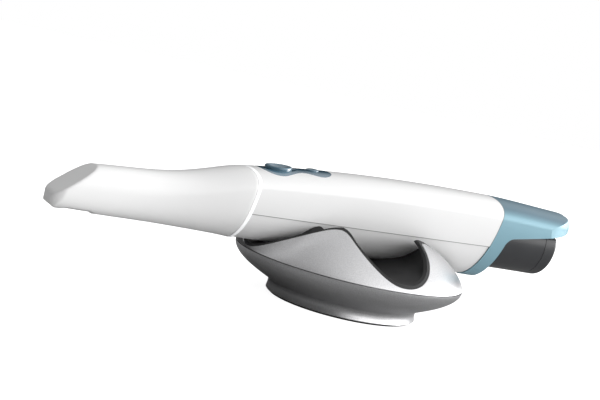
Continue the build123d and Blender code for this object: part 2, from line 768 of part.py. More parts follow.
def make_battery_bay():
    """Black inner part that fills the handle's rear end and the hood round the battery."""
    plug_front = SEAM_X - 7.5
    plug = Pos(plug_front, 0, 0) * Box(60, 80, 160, align=FROM_LEFT)
    in_hood = hood_solid(HOOD_WALL + 0.1) & hood_profile(1.0) & seam_side(True, -0.5)
    in_handle = handle_solid(HANDLE_WALL + 0.1) & plug
    socket = d_bar(socket_start(), plug_front + 1, NECK_R + 1.5, NECK_Z, BATTERY_TOP + 1.3, BATTERY_GAP)
    attic_low = BATTERY_TOP + BATTERY_GAP + 1.5
    attic = hood_solid(HOOD_WALL + 1.6) & Pos(SEAM_X + 6, 0, attic_low) * Box(80, 80, 30, align=LEFT_LOW)
    slots = Pos(socket_start() - 1, 0, NECK_Z) * Box(6, 3 * CONTACT_STEP, CONTACT_HEIGHT - 1, align=FROM_LEFT)
    bay = in_hood + in_handle + socket - battery_room() - attic
    post_low = BATTERY_TOP + BATTERY_GAP + 0.6
    for x in (socket_start() + 3, socket_start() + 12):
        for y in (-BOARD_POST_Y, BOARD_POST_Y):
            bay = bay + Pos(x, y, post_low) * Cylinder(1.6, MAIN_BOARD_Z - post_low, align=STANDING)
    return bay - slots


def make_contact_block():
    size_y = 3 * CONTACT_STEP + 6
    block = Pos(socket_start(), 0, NECK_Z) * Box(3, size_y, 9, align=(Align.MAX, Align.CENTER, Align.CENTER))
    reach = SOCKET_END + BATTERY_GAP - 0.15
    for y in contact_places():
        block = block + bar_x(socket_start(), y, NECK_Z, 0.8, reach)
    return block


def bar_x(x, y, z, radius, length):
    """Round bar along X that starts at the point."""
    return Pos(x, y, z) * Rot(0, 90, 0) * Cylinder(radius, length, align=STANDING)


def frame_wall(x, half, top):
    """Upright wall of the frame with a round window on the optical axis."""
    high = top - FRAME_TOP_Z
    wall = Pos(x, 0, FRAME_TOP_Z) * Box(WALL_THICK, 2 * half, high, align=LEFT_LOW)
    return wall - bar_x(x - WALL_THICK, 0, AXIS_Z, LENS_R - 0.8, 3 * WALL_THICK)


def make_optics_frame():
    length = SENSOR_X + 3 - WALL_FRONT_X
    plate = Pos(WALL_FRONT_X, 0, FRAME_TOP_Z - FRAME_THICK) * Box(length, 30, FRAME_THICK, align=LEFT_LOW)
    frame = plate + frame_wall(WALL_FRONT_X, BARREL_R + 1.5, AXIS_Z + BARREL_R - 1.0)
    for x in (WALL_MID_X, WALL_REAR_X):
        wall = frame_wall(x, ROD_Y + EAR, MAGNET_Z + 2.6)
        wall = wall - Pos(x, 0, MAGNET_Z) * Box(4 * WALL_THICK, MAGNET_WIDE + 0.04, MAGNET_HIGH + 0.04)
        for y in (-ROD_Y, ROD_Y):
            wall = wall - bar_x(x - WALL_THICK, y, AXIS_Z, ROD_R + 0.02, 3 * WALL_THICK)
        frame = frame + wall
    pedestal_high = AXIS_Z - CUBE / 2 - FRAME_TOP_Z
    frame = frame + Pos(CUBE_X, 0, FRAME_TOP_Z) * Box(CUBE, CUBE, pedestal_high, align=LEFT_LOW)
    frame = frame & handle_solid(HANDLE_WALL + FRAME_GAP, 1.0)
    for x in boss_places():
        frame = frame - Pos(x, 0, FRAME_TOP_Z) * Cylinder(SCREW_R + 0.15, 3 * FRAME_THICK)
        frame = frame - Pos(x, 0, FRAME_TOP_Z) * Cylinder(CHASSIS_HEAD_R + 0.15, 2 * CHASSIS_HEAD)
    return frame


def make_chassis_screws():
    head = Cylinder(CHASSIS_HEAD_R, CHASSIS_HEAD, align=HANGING)
    screw = head + Cylinder(PILOT_R, CHASSIS_LENGTH, align=HANGING)
    return Compound(children=[Pos(x, 0, FRAME_TOP_Z) * screw for x in boss_places()])


def make_lens_barrel():
    start = WALL_FRONT_X + WALL_THICK
    length = WALL_MID_X - start
    return bar_x(start, 0, AXIS_Z, BARREL_R, length) - bar_x(start - 1, 0, AXIS_Z, LENS_R + 0.05, length + 2)


def lens(x, thick):
    """Double convex lens about the optical axis."""
    ball = (LENS_R**2 + LENS_BULGE**2) / (2 * LENS_BULGE)
    disc = Rot(0, 90, 0) * Cylinder(LENS_R, thick)
    front = Pos(ball - thick / 2, 0, 0) * Sphere(ball)
    rear = Pos(thick / 2 - ball, 0, 0) * Sphere(ball)
    return Pos(x, 0, AXIS_Z) * (disc & front & rear)


def make_relay_lenses():
    return Compound(children=[lens(blend(WALL_FRONT_X, WALL_MID_X, t), 4.0) for t in (0.3, 0.75)])


def rail_length():
    return WALL_REAR_X + WALL_THICK - WALL_MID_X


def make_guide_rods():
    return Compound(children=[bar_x(WALL_MID_X, y, AXIS_Z, ROD_R, rail_length()) for y in (-ROD_Y, ROD_Y)])


def make_focus_magnet():
    return Pos(WALL_MID_X, 0, MAGNET_Z) * Box(rail_length(), MAGNET_WIDE, MAGNET_HIGH, align=FROM_LEFT)


def make_focus_carriage():
    start = CARRIAGE_X - CARRIAGE_LENGTH / 2
    body = bar_x(start, 0, AXIS_Z, LENS_R + CARRIAGE_WALL, CARRIAGE_LENGTH)
    body = body + Pos(CARRIAGE_X, 0, AXIS_Z) * Box(CARRIAGE_LENGTH, 2 * (ROD_Y + EAR), 2 * EAR)
    body = body - bar_x(start - 1, 0, AXIS_Z, LENS_R + 0.05, CARRIAGE_LENGTH + 2)
    for y in (-ROD_Y, ROD_Y):
        body = body - bar_x(start - 1, y, AXIS_Z, ROD_R + ROD_GAP, CARRIAGE_LENGTH + 2)
    return body


def make_focus_lens():
    return lens(CARRIAGE_X, 4.4)


def make_focus_coil():
    """Coil former on the carriage, with the magnet bar running through it."""
    low = AXIS_Z + LENS_R + CARRIAGE_WALL
    high = MAGNET_Z + MAGNET_HIGH / 2 + COIL_WALL + COIL_GAP
    block = Pos(CARRIAGE_X, 0, low) * Box(CARRIAGE_LENGTH - 1, MAGNET_WIDE + 4, high - low, align=STANDING)
    slot = Box(2 * CARRIAGE_LENGTH, MAGNET_WIDE + 2 * COIL_GAP, MAGNET_HIGH + 2 * COIL_GAP)
    return block - Pos(CARRIAGE_X, 0, MAGNET_Z) * slot


def make_beam_splitter():
    cube = Pos(CUBE_X, 0, AXIS_Z) * Box(CUBE, CUBE, CUBE, align=FROM_LEFT)
    return chamfer(cube.edges(), 0.3)


def make_sensor_board():
    board = Pos(SENSOR_X, 0, FRAME_TOP_Z) * Box(BOARD_THICK, 17, 18, align=LEFT_LOW)
    chip = Box(CHIP_THICK, 9, 9, align=(Align.MAX, Align.CENTER, Align.CENTER))
    return board + Pos(SENSOR_X, 0, AXIS_Z) * chip


def lamp_place(z):
    """Above the middle of the beam splitter's top face."""
    return Pos(CUBE_X + CUBE / 2, 0, AXIS_Z + CUBE / 2 + z)


def make_lamp_board():
    lamp = lamp_place(0) * Box(4, 4, LAMP_THICK, align=STANDING)
    return lamp + lamp_place(LAMP_THICK) * Box(CUBE + 1, 18, BOARD_THICK, align=STANDING)


def make_heat_sink():
    place = lamp_place(LAMP_THICK + BOARD_THICK)
    sink = Box(CUBE, 16, 1.6, align=STANDING)
    step = (CUBE - FIN_THICK) / (FIN_COUNT - 1)
    for i in range(FIN_COUNT):
        sink = sink + Pos((FIN_THICK - CUBE) / 2 + i * step, 0, 0) * Box(FIN_THICK, 16, 3.4, align=STANDING)
    return place * sink


def make_main_board():
    start = SENSOR_X + 2.4
    length = SEAM_X - 9.0 - start
    board = Pos(start, 0, MAIN_BOARD_Z) * Box(length, 26, BOARD_THICK, align=LEFT_LOW)
    for x, size in ((5.5, 8.0), (14.0, 5.0)):
        chip = Box(size, size, CHIP_THICK, align=STANDING)
        board = board + Pos(start + x, 0, MAIN_BOARD_Z + BOARD_THICK) * chip
    return board


def dome_r(z, inset=0.0):
    """Radius of the holder's dome at height z, for a skin moved inward by inset."""
    reach = HOLDER_R - inset
    rise = DOME_RISE - inset
    return reach * (1 - (max(0.0, z - GROOVE_Z) / rise) ** DOME_POWER) ** (1 / DOME_POWER)


def dome_curve(z_from, z_to, inset=0.0, count=6):
    heights = [blend(z_from, z_to, i / (count - 1)) for i in range(count)]
    return Spline(*[(dome_r(z, inset), z) for z in heights])


def turned(edges):
    return revolve(Plane.XZ * make_face(edges), Axis.Z)


def chain(curves):
    """Closes a list of curves and corner points into one ring of edges."""
    edges = []
    previous = None
    for item in curves:
        start = item if isinstance(item, tuple) else item @ 0
        if previous is not None and (Vector(*start) if isinstance(start, tuple) else start) != previous:
            edges.append(Line(previous, start))
        if isinstance(item, tuple):
            previous = Vector(*item)
        else:
            edges.append(item)
            previous = item @ 1
    return edges


def dip_profile(low_z, peak_y, grow=0.0):
    """Face of one dip: low in the middle, easing up to the level of the peaks."""
    rise = PEAK_Z - low_z
    half = Spline((0, low_z), (0.45 * peak_y, low_z + 0.165 * rise), (0.76 * peak_y, low_z + 0.53 * rise),
                  (0.89 * peak_y, low_z + 0.86 * rise), (peak_y, PEAK_Z), tangents=[(1, 0), (1, 0)])
    if grow:
        half = Spline(*[moved_off(half, i / 7, grow) for i in range(8)], tangents=[(1, 0), (1, 0)])
    start = half @ 0
    end = half @ 1
    far = 80
    high = 90
    edges = [half, Line(end, (far, end.Y)), Line((far, end.Y), (far, high)), Line((far, high), (0, high))]
    edges += [Line((0, high), start)]
    face = make_face(edges)
    return face + mirror(face, Plane.YZ)


def moved_off(curve, at, distance):
    """Point beside a plane curve, on its upper side."""
    along = curve % at
    return curve @ at + Vector(-along.Y, along.X) * distance


def dips(grow=0.0):
    """Two channels crossing over the holder, which leave four peaks standing."""
    along = extrude(Plane.YZ * dip_profile(END_DIP_Z, PEAK_Y, grow), amount=90, both=True)
    across = extrude(Plane.XZ * dip_profile(SIDE_DIP_Z, PEAK_X, grow), amount=90, both=True)
    return along + across


def make_holder_upper_shell():
    """Silver dome whose four peaks rise between the dips, with a lip that centres it in the base."""
    low = GROOVE_Z + GROOVE_WIDTH / 2
    outer = dome_curve(low, DOME_CUT_Z)
    inner = dome_curve(DOME_CUT_Z, LIP_TOP_Z + 0.8, DOME_WALL)
    lip_r = HOLDER_R - BASE_WALL - 0.35
    lip_in = lip_r - LIP_WALL
    corners = [(lip_in, LIP_TOP_Z), (lip_in, LIP_LOW_Z), (lip_r, LIP_LOW_Z), (lip_r, low), (dome_r(low), low)]
    return turned(chain([outer, inner, *corners])) - dips()


def make_holder_lower_shell():
    """Silver base: a round flank that narrows to the foot."""
    top = GROOVE_Z - GROOVE_WIDTH / 2
    low = FOOT_PAD_THICK
    floor = low + BASE_WALL
    neck = (NECK_RADIUS, NECK_HEIGHT)
    pull_in, pull_up = FLANK_PULL
    flank = Bezier((HOLDER_R, top), (HOLDER_R, top - BULGE_PULL), (NECK_RADIUS + pull_in, NECK_HEIGHT + pull_up), neck)
    foot = Bezier(neck, (NECK_RADIUS - 1.0, NECK_HEIGHT - 0.6), (FOOT_R - 0.6, NECK_HEIGHT - 3.0), (FOOT_R, low + 0.4))
    inner_top = HOLDER_R - BASE_WALL
    inner_neck = NECK_RADIUS - BASE_WALL
    inner = Bezier((inner_neck, NECK_HEIGHT + 1.2), (inner_neck + pull_in, NECK_HEIGHT + pull_up + 1.6),
                   (inner_top, top - BULGE_PULL), (inner_top, top))
    middle = [(0, low), (0, floor), (inner_neck - 1.4, floor), (inner_neck, floor + 1.4)]
    shell = turned(chain([*middle, inner, flank, foot, (FOOT_R - 0.4, low), (0, low)]))
    sink = SCREW_HEAD + 0.6
    return shell - screw_bores(low - 1, 6, SCREW_R + 0.2) - screw_bores(low - 1, sink, SCREW_HEAD_R + 0.2)


def screw_spots():
    spots = []
    for i in range(SCREW_COUNT):
        turn = math.radians(90 + i * 360 / SCREW_COUNT)
        spots.append((SCREW_CIRCLE_R * math.cos(turn), SCREW_CIRCLE_R * math.sin(turn)))
    return spots


def screw_bores(low, length, radius):
    bore = Cylinder(radius, length, align=STANDING)
    return Compound(children=[Pos(x, y, low) * bore for x, y in screw_spots()])


def make_foot_pad():
    return Cylinder(FOOT_PAD_R, FOOT_PAD_THICK, align=STANDING)


def ballast_low():
    return FOOT_PAD_THICK + BASE_WALL


def make_ballast_plate():
    plate = Pos(0, 0, ballast_low()) * Cylinder(BALLAST_R, BALLAST_THICK, align=STANDING)
    return plate - screw_bores(ballast_low() - 1, BALLAST_THICK + 2, SCREW_R + 0.2)


def bowl_low(inset):
    """Lower half section of the bowl: a quarter of an ellipse, from the middle out to its rim."""
    reach = dome_r(BOWL_RIM_Z, DOME_WALL + LINER_GAP + inset)
    low = BOWL_RIM_Z - BOWL_DEPTH + inset
    pull = QUARTER_PULL * (BOWL_RIM_Z - low)
    return Bezier((0, low), (QUARTER_PULL * reach, low), (reach, BOWL_RIM_Z - pull), (reach, BOWL_RIM_Z))


def bowl_high(inset):
    """Upper half section of the bowl: the dome's own curve, further in."""
    return dome_curve(BOWL_RIM_Z, DOME_CUT_Z, DOME_WALL + LINER_GAP + inset)


def bowl_filled(inset):
    """Solid that fills the bowl up to the height at which the dome is cut."""
    low = bowl_low(inset)
    high = bowl_high(inset)
    return turned([low, high, Line(high @ 1, (0, DOME_CUT_Z)), Line((0, DOME_CUT_Z), low @ 0)])


def saddle_profile(sink=0.0):
    """Face below the liner's top: scoop in the middle, ridges beside the handle, low again at both ends."""
    rise = RIDGE_Z - SCOOP_LOW_Z
    end_z = END_DIP_Z + LIP_RISE
    fall = RIDGE_Z - end_z
    reach = HOLDER_R - SCOOP_HALF
    scoop = Spline((0, SCOOP_LOW_Z), (0.35 * SCOOP_HALF, SCOOP_LOW_Z + 0.13 * rise),
                   (0.54 * SCOOP_HALF, SCOOP_LOW_Z + 0.25 * rise), (0.78 * SCOOP_HALF, SCOOP_LOW_Z + 0.45 * rise),
                   (0.9 * SCOOP_HALF, SCOOP_LOW_Z + 0.68 * rise), (SCOOP_HALF, RIDGE_Z), tangents=[(1, 0), (0.4, 1)])
    brow = Line((SCOOP_HALF, RIDGE_Z), (SCOOP_HALF + 1.2, RIDGE_Z))
    slope = Spline((SCOOP_HALF + 1.2, RIDGE_Z), (SCOOP_HALF + 0.26 * reach, end_z + 0.66 * fall),
                   (SCOOP_HALF + 0.5 * reach, end_z + 0.35 * fall), (HOLDER_R, end_z), tangents=[(1, -0.4), (1, 0)])
    rest = Polyline((HOLDER_R, end_z), (HOLDER_R + 5, end_z), (HOLDER_R + 5, 0), (0, 0), (0, SCOOP_LOW_Z))
    face = make_face([scoop, brow, slope, rest])
    return Pos(0, -sink) * (face + mirror(face, Plane.YZ))


def below_saddle(sink=0.0):
    return extrude(Plane.XZ * saddle_profile(sink), amount=90, both=True)


def handle_room(grow):
    """The lying handle and a margin round it, with the step at its parting line."""
    return handle_solid(PARTING_STEP - grow) + (handle_solid(-grow) & above_parting(-grow))


def make_holder_liner():
    """Black insert: finger scoop, saddles that carry the handle, a band along the silver rim and screw bosses."""
    wall = bowl_filled(0) - bowl_filled(LINER_WALL)
    band_low = GROOVE_Z + 0.6
    skin = dome_curve(band_low, DOME_CUT_Z, LIP_INSET)
    back = dome_curve(DOME_CUT_Z, band_low, DOME_WALL + LINER_GAP + LINER_WALL / 2)
    band = turned(chain([skin, back, (dome_r(band_low, LIP_INSET), band_low)])) & dips(RIM_GAP)
    rim = (wall + band) - dips(LIP_RISE)
    core = (bowl_filled(LINER_WALL) & below_saddle(LINER_WALL)) - handle_room(SADDLE_GAP + LINER_WALL)
    core = core + Cylinder(CORE_R, 2 * (SCOOP_LOW_Z - LINER_WALL))
    low = ballast_low() + BALLAST_THICK
    inside = bowl_filled(0) & below_saddle()
    insert = inside - core
    for x, y in screw_spots():
        boss = Pos(x, y, low) * Cylinder(BOSS_WIDE_R, SCOOP_LOW_Z - low, align=STANDING)
        insert = insert + boss
    liner = (rim + insert) - handle_room(SADDLE_GAP)
    return liner - screw_bores(low - 1, BOSS_BORE, SCREW_CORE_R)


def make_holder_screws():
    head = Cylinder(SCREW_HEAD_R, SCREW_HEAD - 0.5, align=STANDING)
    screw = head + Cylinder(SCREW_CORE_R, SCREW_LENGTH, align=STANDING)
    return Compound(children=[Pos(x, y, FOOT_PAD_THICK + 0.1) * screw for x, y in screw_spots()])


MAKERS = {
    "holder_upper_shell": make_holder_upper_shell,
    "holder_lower_shell": make_holder_lower_shell,
    "holder_liner": make_holder_liner,
    "foot_pad": make_foot_pad,
    "ballast_plate": make_ballast_plate,
    "holder_screws": make_holder_screws,
    "handle_upper_shell": make_handle_upper_shell,
    "handle_lower_shell": make_handle_lower_shell,
    "button_panel": make_button_panel,
    "scan_button": make_scan_button,
    "rear_button": make_rear_button,
    "button_board": make_button_board,
    "light_ring": make_light_ring,
    "ring_light_board": make_ring_board,
    "snout_collar": make_snout_collar,
    "tip_seal": make_tip_seal,
    "snout_tube": make_snout_tube,
    "snout_window": make_snout_window,
    "tip_shell": make_tip_shell,
    "tip_mirror": make_tip_mirror,
    "rear_hood": make_rear_hood,
    "battery_bay": make_battery_bay,
    "contact_block": make_contact_block,
    "battery_case": make_battery_case,
    "battery_contacts": make_battery_contacts,
    "battery_end_cap": make_battery_end_cap,
    "optics_frame": make_optics_frame,
    "chassis_screws": make_chassis_screws,
    "lens_barrel": make_lens_barrel,
    "relay_lenses": make_relay_lenses,
    "guide_rods": make_guide_rods,
    "focus_magnet": make_focus_magnet,
    "focus_carriage": make_focus_carriage,
    "focus_lens": make_focus_lens,
    "focus_coil": make_focus_coil,
    "beam_splitter": make_beam_splitter,
    "sensor_board": make_sensor_board,
    "lamp_board": make_lamp_board,
    "heat_sink": make_heat_sink,
    "main_board": make_main_board,
}

os.makedirs("parts", exist_ok=True)
for name, maker in MAKERS.items():
    export_step(maker(), f"parts/{name}.step")
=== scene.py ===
import json

import bpy
from mathutils import Matrix, Vector

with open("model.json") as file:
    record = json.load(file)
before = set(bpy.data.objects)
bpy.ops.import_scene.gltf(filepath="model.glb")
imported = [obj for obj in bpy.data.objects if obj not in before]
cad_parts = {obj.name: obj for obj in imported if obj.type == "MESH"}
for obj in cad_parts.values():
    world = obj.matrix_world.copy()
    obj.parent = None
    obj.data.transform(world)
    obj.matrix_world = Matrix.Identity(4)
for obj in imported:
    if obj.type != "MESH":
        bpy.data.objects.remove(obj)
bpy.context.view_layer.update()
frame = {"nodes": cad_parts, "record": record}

# Camera, at the photograph's viewing angle. Metres; lens and sensor in millimetres.
CAMERA_AT = (-0.30381, -0.52337, 0.11360)
CAMERA_RIGHT = (0.87660, -0.42377, 0.22801)
CAMERA_UP = (-0.15294, 0.20393, 0.96697)
CAMERA_AHEAD = (0.45627, 0.88251, -0.11395)
CAMERA_LENS = 77.30
SENSOR = 36.0
CAMERA_NEAR, CAMERA_FAR = 0.01, 20.0

# Joints in the white shells that show as thin shadow lines, in metres:
# normal of the joint's plane, its distance from the origin, and half the line's width.
PARTING_LINE = ((-0.026, 0.0, 1.0), 0.03983, 0.00024)
SEAM_LINE = ((1.0, 0.0, -0.168), 0.05742, 0.00040)
JOINT_SHADE = (0.30, 0.30, 0.30)

# Faces whose normal has a height between these turn from plain colour to their painted top shade: a painted
# dark reflection.
TOP_FROM, TOP_TO = 0.45, 0.85

# Finish: scales of the noise, and how far gloss and grain vary.
DRIFT_SCALE = 38.0
PLASTIC_GLOSS_SCALE, PLASTIC_GLOSS_VARY, PLASTIC_GRAIN = 120.0, 0.12, 0.25
METAL_GLOSS_SCALE, METAL_GLOSS_VARY, METAL_GRAIN = 60.0, 0.10, 0.20
TURNED_GLOSS_SCALE, TURNED_GLOSS_VARY, TURNED_GRAIN = 90.0, 0.15, 0.15

# Board: size of its tracks, and the colours of the mask and of the tracks.
TRACK_SCALE, TRACK_WIDTH = 420.0, 0.03
MASK_LIGHT, MASK_DARK = (0.012, 0.085, 0.045, 1), (0.010, 0.070, 0.040, 1)
TRACK_COLOUR = (0.03, 0.15, 0.07, 1)

# Floor: its size in metres, its two shades, its shade in reflections and its glow for the camera.
FLOOR_SIZE = 6.0
FLOOR_DARK, FLOOR_LIGHT = (0.50, 0.50, 0.50), (0.54, 0.54, 0.54)
FLOOR_REFLECTED = (0.26, 0.26, 0.26, 1.0)
FLOOR_GLOW = 0.93

# Studio. Heights and sides run from 0 to 1, straight down to straight up and dim side to bright side.
BLACK, WHITE = (0.0, 0.0, 0.0), (1.0, 1.0, 1.0)
WALLS = [(0.46, BLACK), (0.5, WHITE), (0.62, WHITE), (0.8, BLACK)]
WALLS_BY_SIDE = [(0.0, BLACK), (0.55, BLACK), (0.85, WHITE)]
CEILING = [(0.62, BLACK), (0.8, (0.50, 0.50, 0.50))]
CEILING_BY_SIDE = [(0.3, (0.35, 0.35, 0.35)), (0.75, WHITE)]
BRIGHT_SIDE = (0.85, -0.53, 0.0)
STUDIO_STRENGTH = 3.0

# The one lamp, low at the bright side. Metres and watts.
LAMP_AT, LAMP_TARGET = (1.9, -0.5, 0.32), (0.02, 0, 0.04)
LAMP_WIDTH, LAMP_HEIGHT, LAMP_POWER = 1.4, 0.56, 29.0


def make_camera():
    data = bpy.data.cameras.new("camera")
    data.lens = CAMERA_LENS
    data.sensor_width = SENSOR
    data.clip_start = CAMERA_NEAR
    data.clip_end = CAMERA_FAR
    camera = bpy.data.objects.new("camera", data)
    right, up, ahead = Vector(CAMERA_RIGHT), Vector(CAMERA_UP), Vector(CAMERA_AHEAD)
    rows = [(right[i], up[i], -ahead[i]) for i in range(3)]
    camera.matrix_world = Matrix.Translation(CAMERA_AT) @ Matrix(rows).to_4x4()
    bpy.context.scene.collection.objects.link(camera)
    bpy.context.scene.camera = camera


def new_material(name):
    material = bpy.data.materials.new(name)
    material.use_nodes = True
    tree = material.node_tree
    return material, tree, tree.nodes["Principled BSDF"]


def node(tree, kind, **settings):
    made = tree.nodes.new(kind)
    for key, value in settings.items():
        setattr(made, key, value)
    return made


def coords(tree):
    return node(tree, "ShaderNodeTexCoord").outputs["Object"]


def noise(tree, source, scale, detail=2.0, rough=0.5):
    made = node(tree, "ShaderNodeTexNoise")
    made.inputs["Scale"].default_value = scale
    made.inputs["Detail"].default_value = detail
    made.inputs["Roughness"].default_value = rough
    tree.links.new(source, made.inputs["Vector"])
    return made.outputs["Fac"]


def ramp(tree, factor, stops):
    made = node(tree, "ShaderNodeValToRGB")
    elements = made.color_ramp.elements
    while len(elements) < len(stops):
        elements.new(0.5)
    for element, (place, colour) in zip(elements, stops):
        element.position = place
        element.color = (*colour, 1.0)
    tree.links.new(factor, made.inputs["Fac"])
    return made.outputs["Color"]


def map_range(tree, value, end, low, high):
    """Maps 0..1 to low..high where end is To, and low..high to 0..1 where end is From."""
    made = node(tree, "ShaderNodeMapRange")
    made.inputs[end + " Min"].default_value = low
    made.inputs[end + " Max"].default_value = high
    tree.links.new(value, made.inputs["Value"])
    return made.outputs["Result"]


def vary_gloss(tree, shader, pattern, middle, part):
    """Lets the roughness vary round its middle by the given part of it."""
    tree.links.new(map_range(tree, pattern, "To", middle * (1 - part), middle * (1 + part)),
                   shader.inputs["Roughness"])


def bump(tree, shader, height, strength, distance):
    made = node(tree, "ShaderNodeBump")
    made.inputs["Strength"].default_value = strength
    made.inputs["Distance"].default_value = distance
    tree.links.new(height, made.inputs["Height"])
    tree.links.new(made.outputs["Normal"], shader.inputs["Normal"])
    return made


def blended(tree, how, first, second):
    made = node(tree, "ShaderNodeMix", data_type="RGBA", blend_type=how)
    made.inputs["Factor"].default_value = 1.0
    tree.links.new(first, made.inputs[6])
    tree.links.new(second, made.inputs[7])
    return made.outputs[2]


def along_direction(tree, source, direction):
    made = node(tree, "ShaderNodeVectorMath", operation="DOT_PRODUCT")
    made.inputs[1].default_value = direction
    tree.links.new(source, made.inputs[0])
    return made.outputs["Value"]


def height_of(tree, source):
    split = node(tree, "ShaderNodeSeparateXYZ")
    tree.links.new(source, split.inputs[0])
    return split.outputs["Z"]


def camera_only(tree, plain, shown):
    """Shows the second shader to the camera and the first to all other rays."""
    path = node(tree, "ShaderNodeLightPath")
    made = node(tree, "ShaderNodeMixShader")
    tree.links.new(path.outputs["Is Camera Ray"], made.inputs["Fac"])
    tree.links.new(plain.outputs[0], made.inputs[1])
    tree.links.new(shown.outputs[0], made.inputs[2])
    return made.outputs[0]


def shaded_lines(tree, source, colour, lines):
    """Paints a thin shadow line into the colour along each plane: painted shade where it falls in a narrow
    joint.
    """
    for normal, distance, half_width in lines:
        off = node(tree, "ShaderNodeMath", operation="SUBTRACT")
        off.inputs[1].default_value = distance
        tree.links.new(along_direction(tree, source, normal), off.inputs[0])
        size = node(tree, "ShaderNodeMath", operation="ABSOLUTE")
        tree.links.new(off.outputs[0], size.inputs[0])
        near = map_range(tree, size.outputs[0], "From", 0, half_width)
        colour = blended(tree, "MULTIPLY", colour, ramp(tree, near, [(0.5, JOINT_SHADE), (1.0, WHITE)]))
    return colour


def paint_shade_on_top(tree, colour, shade):
    """Paints a darker shade into the colour on faces that look up: a painted reflection of dark surroundings.
    """
    up = height_of(tree, node(tree, "ShaderNodeTexCoord").outputs["Normal"])
    return blended(tree, "MULTIPLY", colour, ramp(tree, up, [(TOP_FROM, WHITE), (TOP_TO, shade)]))


def shades(colour, vary):
    return tuple(c * (1 - vary) for c in colour), tuple(min(1.0, c * (1 + vary)) for c in colour)


def plastic(name, colour, rough, vary, coat=0.0, coat_rough=0.1, ior=1.46, metallic=0.0,
            lines=(), edge=0.0, glow=0.0, painted_top_shade=None):
    """Moulded plastic: a colour that drifts slightly, fine grain and uneven gloss."""
    material, tree, shader = new_material(name)
    source = coords(tree)
    dark, light = shades(colour, vary)
    drifted = ramp(tree, noise(tree, source, DRIFT_SCALE, 3.0), [(0.3, dark), (0.7, light)])
    # Painted dark reflection: faces that look up get a darker colour.
    if painted_top_shade:
        drifted = paint_shade_on_top(tree, drifted, painted_top_shade)
    # Painted shadow lines along the joints given in lines.
    tree.links.new(shaded_lines(tree, source, drifted, lines), shader.inputs["Base Color"])
    vary_gloss(tree, shader, noise(tree, source, PLASTIC_GLOSS_SCALE, 3.0), rough, PLASTIC_GLOSS_VARY)
    grain = bump(tree, shader, noise(tree, source, 2600.0), PLASTIC_GRAIN, 0.00002)
    if edge:
        rounded = node(tree, "ShaderNodeBevel", samples=6)
        rounded.inputs["Radius"].default_value = edge
        tree.links.new(rounded.outputs[0], grain.inputs["Normal"])
    shader.inputs["IOR"].default_value = ior
    shader.inputs["Coat Weight"].default_value = coat
    shader.inputs["Coat Roughness"].default_value = coat_rough
    shader.inputs["Metallic"].default_value = metallic
    # A glow here is painted light: the part is no lamp, and it stays bright where shade would fall.
    if glow:
        shader.inputs["Emission Color"].default_value = (*colour, 1.0)
        shader.inputs["Emission Strength"].default_value = glow
    return material


def metal(name, colour, rough, vary=0.08, grain=1800.0, depth=0.00002, metallic=1.0):
    """Plain or painted metal with fine flakes."""
    material, tree, shader = new_material(name)
    source = coords(tree)
    flakes = noise(tree, source, grain, 2.0, 0.7)
    dark, light = shades(colour, vary)
    tree.links.new(ramp(tree, flakes, [(0.35, dark), (0.65, light)]), shader.inputs["Base Color"])
    vary_gloss(tree, shader, noise(tree, source, METAL_GLOSS_SCALE, 3.0), rough, METAL_GLOSS_VARY)
    bump(tree, shader, flakes, METAL_GRAIN, depth)
    shader.inputs["Metallic"].default_value = metallic
    return material


def turned_metal(name, colour, rough, pitch, axis="X"):
    """Metal with fine tool lines round an axis."""
    material, tree, shader = new_material(name)
    source = coords(tree)
    wave = node(tree, "ShaderNodeTexWave", wave_type="BANDS", bands_direction=axis)
    wave.inputs["Scale"].default_value = pitch
    wave.inputs["Distortion"].default_value = 1.5
    tree.links.new(source, wave.inputs["Vector"])
    lines = wave.outputs["Fac"]
    dark, light = tuple(c * 0.92 for c in colour), tuple(min(1.0, c * 1.06) for c in colour)
    tree.links.new(ramp(tree, lines, [(0.2, dark), (0.8, light)]), shader.inputs["Base Color"])
    vary_gloss(tree, shader, noise(tree, source, TURNED_GLOSS_SCALE), rough, TURNED_GLOSS_VARY)
    bump(tree, shader, lines, TURNED_GRAIN, 0.00001)
    shader.inputs["Metallic"].default_value = 1.0
    return material


def clear_glass(name):
    """Clear glass with faint smudges."""
    material, tree, shader = new_material(name)
    smudge = noise(tree, coords(tree), 160.0, 4.0)
    tree.links.new(ramp(tree, smudge, [(0.3, (0.92, 0.97, 0.98)), (0.9, (0.735, 0.86, 0.915))]),
                   shader.inputs["Base Color"])
    tree.links.new(map_range(tree, smudge, "To", 0.02, 0.06), shader.inputs["Roughness"])
    shader.inputs["Transmission Weight"].default_value = 0.9
    shader.inputs["IOR"].default_value = 1.5
    shader.inputs["Coat Weight"].default_value = 0.4
    return material


def board_material(name):
    """Solder mask with faint tracks under it."""
    material, tree, shader = new_material(name)
    source = coords(tree)
    tracks = node(tree, "ShaderNodeTexBrick")
    tracks.inputs["Scale"].default_value = TRACK_SCALE
    tracks.inputs["Color1"].default_value = MASK_LIGHT
    tracks.inputs["Color2"].default_value = MASK_DARK
    tracks.inputs["Mortar"].default_value = TRACK_COLOUR
    tracks.inputs["Mortar Size"].default_value = TRACK_WIDTH
    tree.links.new(source, tracks.inputs["Vector"])
    tree.links.new(tracks.outputs["Color"], shader.inputs["Base Color"])
    tree.links.new(map_range(tree, noise(tree, source, 200.0), "To", 0.28, 0.42), shader.inputs["Roughness"])
    bump(tree, shader, tracks.outputs["Fac"], 0.2, 0.00002)
    return material


